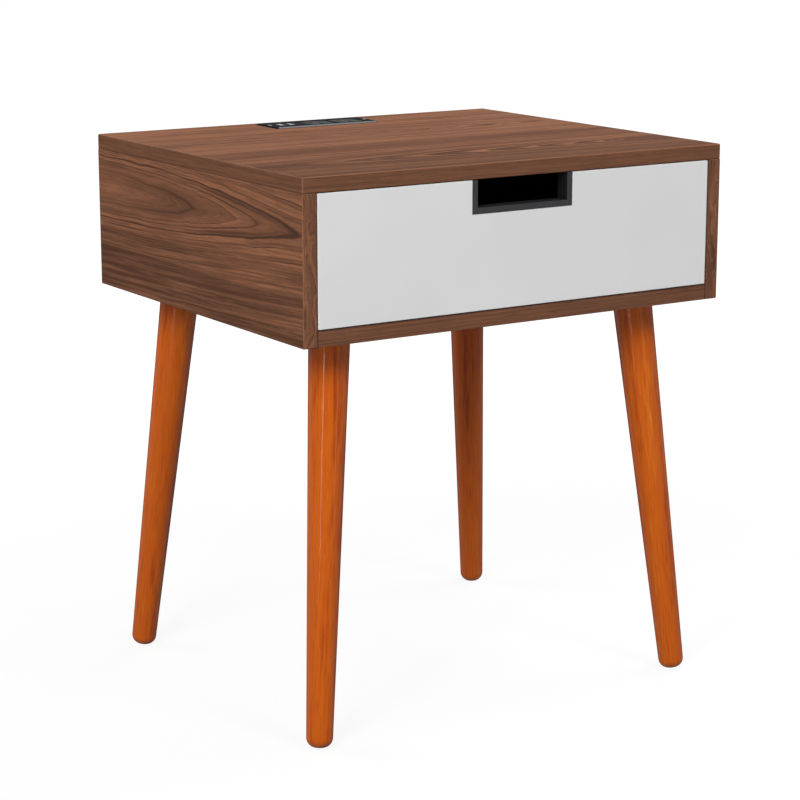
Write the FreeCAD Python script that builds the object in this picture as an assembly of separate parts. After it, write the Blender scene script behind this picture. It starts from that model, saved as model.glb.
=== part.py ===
import FreeCAD, Part
import math
import os

Vec = FreeCAD.Vector

# Bedside table: a one-drawer board case on four splayed turned legs, with a charging panel in its top.
# Sizes are in millimetres. The origin is on the floor under the middle of the case,
# with +X to the right of a person facing the drawer, +Y to the back and +Z up.

# Case boards
case_width = 480.0
case_depth = 412.0
table_height = 545.0
board = 15.0
opening_height = 125.0
corner_round = 1.6
edge_round = 1.5
seam_round = 0.8
back_board = 3.0
back_inset = 7.0
groove_depth = 5.0
groove_end_gap = 1.0
groove_gap = 0.15
cable_outlet_radius = 20.0
cable_outlet_aside = 120.0
cable_outlet_rise = 60.0

# Holes, cam locks and dowels
hole_gap = 0.1
cut_over = 2.0
cam_radius = 7.5
cam_skin = 2.3
cam_reach = 24.0
cam_key_radius = 2.4
cam_key_depth = 3.0
bolt_thread_radius = 2.5
bolt_thread_length = 11.0
bolt_shank_radius = 2.8
bolt_head_radius = 3.6
bolt_head_length = 5.0
dowel_radius = 4.0
dowel_in_face = 11.0
dowel_in_edge = 19.0
dowel_end_gap = 0.8
top_cam_inset = 70.0
top_dowel_inset = 35.0
bottom_cam_inset = 136.0
bottom_dowel_inset = 100.0

# Legs and their mounting plates
leg_inset_side = 62.0
leg_inset_front = 58.0
leg_lean = 5.2
leg_top_radius = 19.8
leg_foot_radius = 12.6
foot_round = 9.5
foot_flat = 0.4
leg_rim_gap = 0.6
leg_plate = 64.0
leg_plate_steel = 2.0
leg_plate_corner = 6.0
leg_boss_radius = 14.0
leg_bolt_radius = 4.0
leg_bolt_rise = 5.0
leg_bolt_bite = 30.0
leg_bolt_room = 1.0
plate_screw_inset = 8.0
plate_screw_radius = 2.0
plate_screw_length = 12.0
plate_screw_head_radius = 3.7
plate_screw_head = 2.2

# Drawer box
front_board = 15.0
front_side_gap = 0.75
front_top_gap = 0.5
front_bottom_gap = 1.0
front_round = 0.8
drawer_board = 12.0
drawer_length = 300.0
drawer_side_height = 80.0
drawer_round = 1.0
drawer_bottom_board = 3.0
drawer_bottom_rise = 10.5
drawer_cam_drop = 25.0
drawer_dowel_radius = 3.0
back_screw_inset = 15.0
back_screw_length = 35.0

# Finger pull let into the top edge of the drawer front
pull_width = 115.0
pull_height = 32.0
pull_face = 6.0
pull_wall = 2.5
pull_lip = 1.5
pull_gap = 0.15
pull_round = 0.5

# Roller runners
runner_gap = 12.5
runner_steel = 1.2
runner_rise = 9.0
channel_rail_gap = 1.8
channel_front_gap = 3.0
channel_rear_gap = 3.0
channel_slack = 0.9
rail_front_gap = 1.0
rail_rise = 2.5
rail_web_height = 22.0
rail_shelf = 10.0
rail_tip_gap = 1.4
roller_radius = 10.0
roller_play = 0.3
roller_side_gap = 0.4
roller_inset = 14.0
roller_room = 3.0
roller_round = 0.6
front_roller_drop = 6.3
axle_radius = 2.5
axle_gap = 0.05
axle_head_radius = 4.0
axle_head = 1.0
axle_head_gap = 0.9
runner_screw_inset = 45.0
runner_screw_length = 11.0
small_screw_radius = 1.75
small_screw_head_radius = 3.3

# Charging panel in the top
panel_end = 8.0
panel_lap = 3.25
panel_thickness = 2.5
panel_proud = 1.5
panel_rear_gap = 14.5
panel_corner = 2.5
panel_bevel = 1.2
panel_gap = 0.2
panel_screw_inset = 4.2
panel_screw_radius = 1.1
panel_screw_head_radius = 1.9
panel_screw_length = 13.0
screw_cross_length = 2.2
screw_cross_width = 0.6
screw_cross_depth = 0.9
housing_wall = 2.0
housing_gap = 0.3
housing_end_room = 0.6
housing_side_room = 0.85
outlet_size = 32.0
outlet_corner = 4.0
outlet_gap = 1.2
outlet_recess = 0.6
outlet_flange = 0.9
outlet_depth = 12.0
blade_spacing = 12.7
blade_slot_width = 2.2
line_slot_length = 6.8
neutral_slot_length = 8.4
blade_back = 4.0
earth_drop = 11.9
earth_radius = 2.7
contact_metal = 0.6
contact_grip = 1.5
contact_bar = 2.0
contact_bar_gap = 1.2
contact_room = 0.4
port_recess = 0.1
usb_pitch = 12.0
usb_shell_width = 5.8
usb_shell_length = 13.2
usb_shell_wall = 0.4
usb_shell_height = 14.0
usb_tongue_width = 1.9
usb_tongue_gap = 0.9
usb_tongue_drop = 0.3
usb_base = 3.0
charger_board_length = 25.8
charger_board_gap = 0.75
charger_board_thickness = 1.6
charger_rib = 2.0
transformer_length = 14.0
transformer_width = 16.0
transformer_height = 13.0
transformer_room = 5.3
gland_gap = 3.6
gland_contact_gap = 2.05
gland_back = 8.0
gland_radius = 6.0
gland_bore_radius = 3.6
gland_flange_radius = 8.0
gland_flange = 2.0
gland_tail = 8.0
gland_rise = 2.0

# Levels and faces that the boards share
half_width = case_width / 2
half_depth = case_depth / 2
top_under = table_height - board
case_floor = top_under - opening_height
case_under = case_floor - board
side_inner = half_width - board
back_outer = half_depth - back_inset
back_inner = back_outer - back_board

# Drawer levels and faces
front_back = front_board - half_depth
front_low = case_floor + front_bottom_gap
front_high = top_under - front_top_gap
front_half = side_inner - front_side_gap
drawer_half = side_inner - runner_gap
drawer_inner = drawer_half - drawer_board
drawer_rear = front_back + drawer_length

# Runner levels: the channel's floor carries the rear rollers, and the rail rides on the front rollers
channel_floor = case_floor + runner_rise
channel_ceiling = channel_floor + 2 * roller_radius + 2 * roller_play + channel_slack
channel_front = front_back + channel_front_gap
channel_rear = drawer_rear + channel_rear_gap
channel_reach = runner_gap - runner_steel - channel_rail_gap
roller_width = runner_gap - 2 * runner_steel - 2 * roller_side_gap - axle_head - axle_head_gap
rear_roller_z = channel_floor + roller_radius + roller_play
front_roller_z = rear_roller_z - front_roller_drop
front_roller_y = channel_front + roller_inset
rail_under = front_roller_z + roller_radius + roller_play
rail_front = front_back + rail_front_gap
rear_roller_y = drawer_rear - roller_inset
drawer_low = channel_floor + rail_rise
drawer_high = drawer_low + drawer_side_height
drawer_bottom_low = drawer_low + drawer_bottom_rise
drawer_bottom_high = drawer_bottom_low + drawer_bottom_board

# The drawer's dowels lie midway between its cam and the bottom board, and between its cam and the top edge
drawer_cam_z = drawer_high - drawer_cam_drop
drawer_dowel_levels = (
    (drawer_bottom_high + drawer_cam_z - cam_radius) / 2,
    (drawer_cam_z + cam_radius + drawer_high) / 2,
)
back_screw_levels = (drawer_bottom_high + back_screw_inset, drawer_high - back_screw_inset)

# Charging panel levels: the transformer hangs from the charger board, clear of the housing's floor
panel_high = table_height + panel_proud
panel_under = panel_high - panel_thickness
face_high = panel_high - outlet_recess
outlet_under = panel_under - outlet_depth
port_high = panel_high - port_recess
charger_board_high = port_high - usb_shell_height
charger_board_under = charger_board_high - charger_board_thickness
housing_floor = charger_board_under - transformer_height - transformer_room
housing_under = housing_floor - housing_wall

# Charging panel row, centred on the table: charger board, cord gland, then the outlets
outlet_wide = outlet_size + 2 * outlet_flange
outlet_pitch = outlet_wide + outlet_gap
contact_half = contact_grip + contact_metal
gland_from_charger = gland_gap + gland_radius
outlet_from_gland = gland_radius + gland_contact_gap + contact_half + blade_spacing / 2
row_length = charger_board_length + gland_from_charger + outlet_from_gland + outlet_pitch + outlet_wide / 2
charger_x = (charger_board_length - row_length) / 2
gland_x = charger_x + charger_board_length / 2 + gland_from_charger
outlet_places = [gland_x + outlet_from_gland, gland_x + outlet_from_gland + outlet_pitch]
usb_places = [charger_x - usb_pitch / 2, charger_x + usb_pitch / 2]

# Charging panel sizes, from what the housing holds out to the faceplate
housing_length = row_length + 2 * housing_end_room + 2 * housing_wall
housing_width = outlet_wide + 2 * housing_side_room + 2 * housing_wall
charger_board_width = housing_width - 2 * housing_wall - 2 * charger_board_gap
panel_length = housing_length + 2 * panel_end
panel_width = housing_width + 2 * panel_lap
panel_y = half_depth - panel_rear_gap - panel_width / 2

SAME = 1e-6
UP = Vec(0, 0, 1)
DOWN = Vec(0, 0, -1)
BACK = Vec(0, 1, 0)
LEFT_AND_RIGHT = {"left": -1, "right": 1}
FRONT_AND_BACK = {"front": -1, "back": 1}


def block(xs, ys, zs):
    """Box between two values on each axis, in either order."""
    low = Vec(min(xs), min(ys), min(zs))
    return Part.makeBox(max(xs) - low.x, max(ys) - low.y, max(zs) - low.z, low)


def plate(x, y, length, width, zs):
    """Box centred on a point in plan."""
    return block((x - length / 2, x + length / 2), (y - width / 2, y + width / 2), zs)


def rod(start, along, radius, length):
    """Cylinder from a point along a direction."""
    return Part.makeCylinder(radius, length, start, along)


def join(first, *others):
    """One solid from touching or overlapping solids."""
    return first.fuse(list(others)).removeSplitter()


def edges_at(shape, test):
    """Edges of which every corner passes the test."""
    return [e for e in shape.Edges if all(test(v.Point) for v in e.Vertexes)]


def straight_edges(shape, axis):
    """Straight edges that run along an axis."""
    found = []
    for edge in shape.Edges:
        if len(edge.Vertexes) == 2:
            run = edge.Vertexes[1].Point.sub(edge.Vertexes[0].Point)
            if run.Length > 0 and run.cross(axis).Length < SAME:
                found.append(edge)
    return found


def eased(shape, radius):
    """A box with all its edges rounded."""
    return shape.makeFillet(radius, shape.Edges)


def sunk_screw(face, along, head_radius, shank_radius, length, gap=0.0):
    """Countersunk screw with its head flush with a face, or the hole for it when a gap is given."""
    head_depth = head_radius - shank_radius
    head = Part.makeCone(head_radius + gap, shank_radius + gap, head_depth, face, along)
    screw = join(head, rod(face, along, shank_radius + gap, length + gap))
    if gap:
        mouth = rod(face - along * cut_over, along, head_radius + gap, cut_over)
        screw = join(screw, mouth)
    return screw


def small_screw(face, along, length, gap):
    """Small countersunk screw, or the hole for it when a gap is given."""
    return sunk_screw(face, along, small_screw_head_radius, small_screw_radius, length, gap)


def cam_joint(seat, into_board, into_face, thickness):
    """Cam lock with its bolt, and the holes they need. The seat lies on the joint, midway through the
    board that holds the cam."""
    depth = thickness - cam_skin
    centre = seat + into_board * cam_reach
    mouth = centre - into_face * (thickness / 2)
    bolt_length = cam_reach + bolt_head_length / 2
    thread_start = seat - into_board * bolt_thread_length
    thread = rod(thread_start, into_board, bolt_thread_radius, bolt_thread_length)
    shank = rod(seat, into_board, bolt_shank_radius, bolt_length)
    head_start = seat + into_board * (cam_reach - bolt_head_length / 2)
    head = rod(head_start, into_board, bolt_head_radius, bolt_head_length)
    bore_start = seat - into_board * hole_gap
    bore = rod(bore_start, into_board, bolt_head_radius + hole_gap, bolt_length + 2 * hole_gap)
    key = rod(mouth, into_face, cam_key_radius, cam_key_depth)
    cam_bore_start = mouth - into_face * cut_over
    pilot_start = thread_start - into_board * hole_gap
    return {
        "bolt": join(thread, shank, head),
        "cam": rod(mouth, into_face, cam_radius, depth).cut(bore).cut(key),
        "bolt_bore": bore,
        "cam_bore": rod(cam_bore_start, into_face, cam_radius + hole_gap, depth + hole_gap + cut_over),
        "pilot": rod(pilot_start, into_board, bolt_thread_radius + hole_gap, bolt_thread_length + hole_gap),
    }


def dowel_joint(seat, into_edge, radius):
    """Dowel across a joint and the hole for it. The seat lies on the joint."""
    start = seat - into_edge * dowel_in_face
    hole_start = start - into_edge * dowel_end_gap
    length = dowel_in_face + dowel_in_edge
    return {
        "dowel": rod(start, into_edge, radius, length),
        "hole": rod(hole_start, into_edge, radius + hole_gap, length + 2 * dowel_end_gap),
    }


def at_runner(side, inward):
    """X of a point that lies some way from a side board's inner face, towards the drawer."""
    return side * (side_inner - inward)


def case_joints():
    """Cam locks and dowels of the case, with each joint's holes."""
    joints = {"top": [], "bottom": [], "top_dowels": [], "bottom_dowels": []}
    for side in LEFT_AND_RIGHT.values():
        outward = Vec(side, 0, 0)
        for end in FRONT_AND_BACK.values():
            seat = Vec(side * (half_width - board / 2), end * (half_depth - top_cam_inset), top_under)
            joints["top"].append(cam_joint(seat, DOWN, outward, board))
            seat = Vec(side * side_inner, end * (half_depth - bottom_cam_inset), case_under + board / 2)
            joints["bottom"].append(cam_joint(seat, outward * -1, UP, board))
            seat = Vec(side * (half_width - board / 2), end * (half_depth - top_dowel_inset), top_under)
            joints["top_dowels"].append(dowel_joint(seat, DOWN, dowel_radius))
            seat = Vec(side * side_inner, end * (half_depth - bottom_dowel_inset), case_under + board / 2)
            joints["bottom_dowels"].append(dowel_joint(seat, outward * -1, dowel_radius))
    return joints


def back_groove():
    """Space cut in the case boards for the back board's edges."""
    return block(
        (-side_inner - groove_depth, side_inner + groove_depth),
        (back_inner - groove_gap, back_outer + groove_gap),
        (case_floor - groove_depth, top_under + groove_depth),
    )


def make_case_boards(joints, legs, runner_screw_holes):
    """Top, sides, bottom and back of the case, with all their holes and grooves."""
    all_cams = joints["top"] + joints["bottom"]
    all_dowels = joints["top_dowels"] + joints["bottom_dowels"]
    dowel_holes = [d["hole"] for d in all_dowels]
    groove = back_groove()

    top = block((-half_width, half_width), (-half_depth, half_depth), (top_under, table_height))
    top = top.makeFillet(corner_round, straight_edges(top, UP))
    top = top.makeFillet(edge_round, edges_at(top, lambda p: abs(p.z - table_height) < SAME))
    top = top.makeFillet(seam_round, edges_at(top, lambda p: abs(p.z - top_under) < SAME))
    rebate = plate(
        0,
        panel_y,
        panel_length + 2 * panel_gap,
        panel_width + 2 * panel_gap,
        (panel_under, table_height + cut_over),
    )
    rebate = rebate.makeFillet(panel_corner + panel_gap, straight_edges(rebate, UP))
    well = plate(
        0,
        panel_y,
        housing_length + 2 * housing_gap,
        housing_width + 2 * housing_gap,
        (top_under - cut_over, table_height),
    )
    top_cuts = [rebate, well, groove] + [j["pilot"] for j in joints["top"]]
    top_cuts += dowel_holes + panel_screws(hole_gap)
    boards = {"top_panel": top.cut(top_cuts)}

    side_cuts = [j["bolt_bore"] for j in joints["top"]] + [j["cam_bore"] for j in joints["top"]]
    side_cuts += [j["pilot"] for j in joints["bottom"]] + dowel_holes + runner_screw_holes + [groove]
    side_z = (case_under, top_under)
    for name, side in LEFT_AND_RIGHT.items():
        panel = block((side * side_inner, side * half_width), (-half_depth, half_depth), side_z)
        boards[name + "_side_panel"] = eased(panel, seam_round).cut(side_cuts)

    bottom = block((-side_inner, side_inner), (-half_depth, half_depth), (case_under, case_floor))
    bottom_cuts = [j["bolt_bore"] for j in joints["bottom"]] + [j["cam_bore"] for j in joints["bottom"]]
    bottom_cuts += dowel_holes + [groove]
    for leg in legs:
        bottom_cuts += leg["panel_cuts"]
    boards["bottom_panel"] = eased(bottom, seam_round).cut(bottom_cuts)

    edge = groove_depth - groove_end_gap
    back = block(
        (-side_inner - edge, side_inner + edge),
        (back_inner, back_outer),
        (case_floor - edge, top_under + edge),
    )
    outlet_start = Vec(cable_outlet_aside, back_inner - cut_over, case_floor + cable_outlet_rise)
    boards["back_panel"] = back.cut(rod(outlet_start, BACK, cable_outlet_radius, back_board + 2 * cut_over))

    boards["case_cam_locks"] = Part.makeCompound([j["cam"] for j in all_cams])
    boards["case_cam_bolts"] = Part.makeCompound([j["bolt"] for j in all_cams])
    boards["case_dowels"] = Part.makeCompound([d["dowel"] for d in all_dowels])
    return boards


def make_leg(side, end):
    """A turned leg, its mounting plate, bolt and screws, and the holes these need in the bottom board."""
    slope = math.tan(math.radians(leg_lean))
    top_point = Vec(side * (half_width - leg_inset_side), end * (half_depth - leg_inset_front), case_under)
    along = Vec(side * slope, end * slope, -1)
    upright = 1 / along.Length
    along.normalize()
    tilt = math.sqrt(1 - upright**2)

    # the seat is square to the leg, low enough for the leg's high rim to clear the plate
    seat = (leg_plate_steel + leg_rim_gap + leg_top_radius * tilt) / upright
    tip_flat = leg_foot_radius - foot_round
    tip_height = foot_round + tip_flat * tilt - foot_round * upright - foot_flat
    tip = (case_under - tip_height) / upright
    floor_reach = case_under / upright

    def radius_at(distance):
        return leg_top_radius + (leg_foot_radius - leg_top_radius) * distance / floor_reach

    outline = [
        Vec(0, 0, -seat),
        Vec(radius_at(seat), 0, -seat),
        Vec(radius_at(tip), 0, -tip),
        Vec(0, 0, -tip),
    ]
    turned = Part.Face(Part.makePolygon(outline + outline[:1])).revolve(Vec(0, 0, 0), UP, 360)
    turned = turned.makeFillet(foot_round, edges_at(turned, lambda p: abs(p.z + tip) < SAME and p.x > SAME))
    turned.Placement = FreeCAD.Placement(top_point, FreeCAD.Rotation(DOWN, along))
    below_floor = plate(top_point.x, top_point.y, case_width, case_depth, (-case_under, 0))
    bolt_hole = rod(top_point, along, leg_bolt_radius + hole_gap, seat + leg_bolt_bite + leg_bolt_room)
    leg = turned.cut([below_floor, bolt_hole])

    zs = (case_under - leg_plate_steel, case_under)
    flange = plate(top_point.x, top_point.y, leg_plate, leg_plate, zs)
    flange = flange.makeFillet(leg_plate_corner, straight_edges(flange, UP))
    boss = rod(top_point - along * leg_boss_radius, along, leg_boss_radius, leg_boss_radius + seat)
    over = plate(top_point.x, top_point.y, leg_plate, leg_plate, (case_under, case_under + leg_plate))
    bolt_start = top_point - along * leg_bolt_rise
    bolt_way = rod(bolt_start, along, leg_bolt_radius + hole_gap, leg_bolt_rise + seat + cut_over)
    mount = join(flange, boss.cut(over)).cut(bolt_way)

    screws = []
    screw_holes = []
    spread = leg_plate / 2 - plate_screw_inset
    for dx in (-spread, spread):
        for dy in (-spread, spread):
            under = Vec(top_point.x + dx, top_point.y + dy, zs[0])
            head = rod(under, DOWN, plate_screw_head_radius, plate_screw_head)
            screws.append(join(head, rod(under, UP, plate_screw_radius, plate_screw_length)))
            hole_start = under + DOWN * cut_over
            hole_length = plate_screw_length + hole_gap + cut_over
            screw_holes.append(rod(hole_start, UP, plate_screw_radius + hole_gap, hole_length))

    room_start = top_point - along * (leg_bolt_rise + leg_bolt_room)
    room_length = leg_bolt_rise + leg_bolt_room + cut_over
    bolt_room = rod(room_start, along, leg_bolt_radius + leg_bolt_room, room_length)
    return {
        "leg": leg,
        "plate": mount.cut(screw_holes),
        "bolt": rod(bolt_start, along, leg_bolt_radius, leg_bolt_rise + seat + leg_bolt_bite),
        "screws": screws,
        "panel_cuts": screw_holes + [bolt_room],
    }


def runner_screws(gap=0.0):
    """Screws that hold the channels to the side boards, or the holes for them."""
    ends = (channel_front + runner_screw_inset, channel_rear - runner_screw_inset)
    places = (ends[0], sum(ends) / 2, ends[1])
    screws = []
    for side in LEFT_AND_RIGHT.values():
        for y in places:
            face = Vec(at_runner(side, runner_steel), y, rear_roller_z)
            screws.append(small_screw(face, Vec(side, 0, 0), runner_screw_length, gap))
    return screws


def rail_screws(gap=0.0):
    """Screws that hold the rails to the drawer sides, or the holes for them."""
    ends = (rail_front + runner_screw_inset, drawer_rear - runner_screw_inset)
    places = (ends[0], sum(ends) / 2, ends[1])
    screws = []
    for side in LEFT_AND_RIGHT.values():
        for y in places:
            face = Vec(at_runner(side, runner_gap - runner_steel), y, (drawer_low + rail_under) / 2)
            screws.append(small_screw(face, Vec(-side, 0, 0), runner_screw_length, gap))
    return screws


def roller(side, inward, y, z):
    """Wheel with eased rims and a bore for its axle."""
    start = Vec(at_runner(side, inward), y, z)
    inwards = Vec(-side, 0, 0)
    wheel = rod(start, inwards, roller_radius, roller_width)
    wheel = wheel.makeFillet(roller_round, [e for e in wheel.Edges if len(e.Vertexes) == 1])
    return wheel.cut(rod(start, inwards, axle_radius + axle_gap, roller_width))


def axle(side, foot, tip, y, z):
    """Riveted axle from the steel it stands on to a head past the roller."""
    along = Vec(-side if tip > foot else side, 0, 0)
    pin = rod(Vec(at_runner(side, foot), y, z), along, axle_radius, abs(tip - foot))
    head = rod(Vec(at_runner(side, tip), y, z), along, axle_head_radius, axle_head)
    return join(pin, head)


def make_case_runners():
    """Channels on the case sides, with the front rollers and their axles."""
    pieces = {}
    axles = []
    roller_start = runner_steel + roller_side_gap
    flange_front = front_roller_y + roller_radius + roller_room
    for name, side in LEFT_AND_RIGHT.items():
        web_x = (at_runner(side, 0), at_runner(side, runner_steel))
        flange_x = (at_runner(side, 0), at_runner(side, channel_reach))
        long_y = (channel_front, channel_rear)
        flange_y = (flange_front, channel_rear)
        web = block(web_x, long_y, (channel_floor - runner_steel, channel_ceiling + runner_steel))
        floor = block(flange_x, flange_y, (channel_floor - runner_steel, channel_floor))
        ceiling = block(flange_x, flange_y, (channel_ceiling, channel_ceiling + runner_steel))
        axle_hole = rod(
            Vec(at_runner(side, runner_steel), front_roller_y, front_roller_z),
            Vec(side, 0, 0),
            axle_radius + axle_gap,
            runner_steel,
        )
        pieces[name + "_channel"] = join(web, floor, ceiling).cut([axle_hole] + runner_screws(hole_gap))
        pieces["front_roller_" + name] = roller(side, roller_start, front_roller_y, front_roller_z)
        tip = roller_start + roller_width + roller_side_gap
        axles.append(axle(side, 0, tip, front_roller_y, front_roller_z))
    pieces["front_roller_axles"] = Part.makeCompound(axles)
    pieces["channel_screws"] = Part.makeCompound(runner_screws())
    return pieces


def make_drawer_runners():
    """Rails under the drawer sides, with the rear rollers and their axles."""
    pieces = {}
    axles = []
    web_face = runner_gap - runner_steel
    roller_start = web_face - roller_side_gap - roller_width
    wing_rear = rear_roller_y - roller_radius - roller_room
    for name, side in LEFT_AND_RIGHT.items():
        long_y = (rail_front, drawer_rear)
        web_x = (at_runner(side, web_face), at_runner(side, runner_gap))
        web_low = drawer_low - runner_steel
        web = block(web_x, long_y, (web_low, web_low + rail_web_height))
        shelf_x = (at_runner(side, web_face), at_runner(side, runner_gap + rail_shelf))
        shelf = block(shelf_x, long_y, (web_low, drawer_low))
        wing_x = (at_runner(side, runner_steel + rail_tip_gap), at_runner(side, runner_gap))
        wing = block(wing_x, (rail_front, wing_rear), (rail_under, rail_under + runner_steel))
        axle_hole = rod(
            Vec(at_runner(side, runner_gap), rear_roller_y, rear_roller_z),
            Vec(side, 0, 0),
            axle_radius + axle_gap,
            runner_steel,
        )
        pieces[name + "_rail"] = join(web, shelf, wing).cut([axle_hole] + rail_screws(hole_gap))
        pieces["rear_roller_" + name] = roller(side, roller_start, rear_roller_y, rear_roller_z)
        axles.append(axle(side, runner_gap, roller_start - roller_side_gap, rear_roller_y, rear_roller_z))
    pieces["rear_roller_axles"] = Part.makeCompound(axles)
    pieces["rail_screws"] = Part.makeCompound(rail_screws())
    return pieces


def pull_opening(width, height, ys):
    """Space of the finger pull, open at the drawer front's top edge."""
    return plate(0, sum(ys) / 2, width, max(ys) - min(ys), (front_high - height, front_high))


def make_pull():
    """U-shaped liner of the finger pull: a lip on the face and walls through the front board."""
    face = -half_depth
    open_width = pull_width - 2 * pull_face
    open_height = pull_height - pull_face
    lip = pull_opening(pull_width, pull_height, (face, face + pull_lip))
    walls = pull_opening(open_width + 2 * pull_wall, open_height + pull_wall, (face, front_back))
    liner = join(lip, walls).cut(pull_opening(open_width, open_height, (face, front_back)))
    on_face = edges_at(liner, lambda p: abs(p.y - face) < SAME and p.z < front_high - SAME)
    return liner.makeFillet(pull_round, on_face)


def back_screws(gap=0.0):
    """Screws through the drawer sides into the ends of the drawer back, or the holes for them."""
    screws = []
    for side in LEFT_AND_RIGHT.values():
        for level in back_screw_levels:
            face = Vec(side * drawer_half, drawer_rear - drawer_board / 2, level)
            screws.append(small_screw(face, Vec(-side, 0, 0), back_screw_length, gap))
    return screws


def make_drawer():
    """Front, finger pull, sides, back and bottom of the drawer, with what joins them."""
    cams = []
    dowels = []
    for side in LEFT_AND_RIGHT.values():
        middle = side * (drawer_half - drawer_board / 2)
        seat = Vec(middle, front_back, drawer_cam_z)
        cams.append(cam_joint(seat, BACK, Vec(side, 0, 0), drawer_board))
        for level in drawer_dowel_levels:
            dowels.append(dowel_joint(Vec(middle, front_back, level), BACK, drawer_dowel_radius))
    dowel_holes = [d["hole"] for d in dowels]

    edge = groove_depth - groove_end_gap
    groove = block(
        (-drawer_inner - groove_depth, drawer_inner + groove_depth),
        (front_back - groove_depth, drawer_rear - drawer_board + groove_depth),
        (drawer_bottom_low - groove_gap, drawer_bottom_high + groove_gap),
    )
    bottom = block(
        (-drawer_inner - edge, drawer_inner + edge),
        (front_back - edge, drawer_rear - drawer_board + edge),
        (drawer_bottom_low, drawer_bottom_high),
    )

    front = block((-front_half, front_half), (-half_depth, front_back), (front_low, front_high))
    face = -half_depth
    lip_y = (face - cut_over, face + pull_lip)
    lip_seat = pull_opening(pull_width + 2 * pull_gap, pull_height + pull_gap, lip_y)
    wall_width = pull_width - 2 * pull_face + 2 * pull_wall
    wall_height = pull_height - pull_face + pull_wall
    notch = pull_opening(wall_width + 2 * pull_gap, wall_height + pull_gap, (face, front_back + cut_over))
    front_cuts = [lip_seat, notch, groove] + [c["pilot"] for c in cams] + dowel_holes
    front = eased(front, front_round).cut(front_cuts)

    pieces = {"drawer_front": front, "pull_liner": make_pull(), "drawer_bottom": bottom}
    box_z = (drawer_low, drawer_high)
    side_cuts = [c["bolt_bore"] for c in cams] + [c["cam_bore"] for c in cams] + dowel_holes
    side_cuts += [groove] + back_screws(hole_gap) + rail_screws(hole_gap)
    for name, side in LEFT_AND_RIGHT.items():
        panel = block((side * drawer_inner, side * drawer_half), (front_back, drawer_rear), box_z)
        upper = [e for e in straight_edges(panel, BACK) if e.CenterOfMass.z > drawer_high - SAME]
        pieces["drawer_" + name + "_side"] = panel.makeFillet(drawer_round, upper).cut(side_cuts)

    back = block((-drawer_inner, drawer_inner), (drawer_rear - drawer_board, drawer_rear), box_z)
    upper = [e for e in straight_edges(back, Vec(1, 0, 0)) if e.CenterOfMass.z > drawer_high - SAME]
    pieces["drawer_back"] = back.makeFillet(drawer_round, upper).cut([groove] + back_screws(hole_gap))

    pieces["drawer_cam_locks"] = Part.makeCompound([c["cam"] for c in cams])
    pieces["drawer_cam_bolts"] = Part.makeCompound([c["bolt"] for c in cams])
    pieces["drawer_dowels"] = Part.makeCompound([d["dowel"] for d in dowels])
    pieces["drawer_back_screws"] = Part.makeCompound(back_screws())
    return pieces


def panel_screws(gap=0.0):
    """Screws at the ends of the charging panel, or the holes for them."""
    screws = []
    for side in LEFT_AND_RIGHT.values():
        face = Vec(side * (panel_length / 2 - panel_screw_inset), panel_y, panel_high)
        screw = sunk_screw(face, DOWN, panel_screw_head_radius, panel_screw_radius, panel_screw_length, gap)
        if not gap:
            zs = (panel_high - screw_cross_depth, panel_high)
            cross = plate(face.x, face.y, screw_cross_length, screw_cross_width, zs)
            screw = screw.cut(join(cross, plate(face.x, face.y, screw_cross_width, screw_cross_length, zs)))
        screws.append(screw)
    return screws


def outlet_holes(x, zs):
    """Blade slots and earth hole of one outlet."""
    blade_y = panel_y + blade_back
    line = plate(x + blade_spacing / 2, blade_y, blade_slot_width, line_slot_length, zs)
    neutral = plate(x - blade_spacing / 2, blade_y, blade_slot_width, neutral_slot_length, zs)
    earth_start = Vec(x, blade_y - earth_drop, min(zs))
    return [line, neutral, rod(earth_start, UP, earth_radius, max(zs) - min(zs))]


def contact_bar_set(xs, y_span, bar_y):
    """Bar on the housing floor with a pair of upright springs at each outlet."""
    high = outlet_under - contact_room
    ys = (bar_y - contact_bar / 2, bar_y + contact_bar / 2)
    bar_x = (xs[0] - contact_half, xs[-1] + contact_half)
    bar = block(bar_x, ys, (housing_floor, housing_floor + contact_metal))
    springs = []
    for x in xs:
        for inner in (x - contact_half, x + contact_grip):
            springs.append(block((inner, inner + contact_metal), y_span, (housing_floor, high)))
    return join(bar, *springs)


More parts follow.
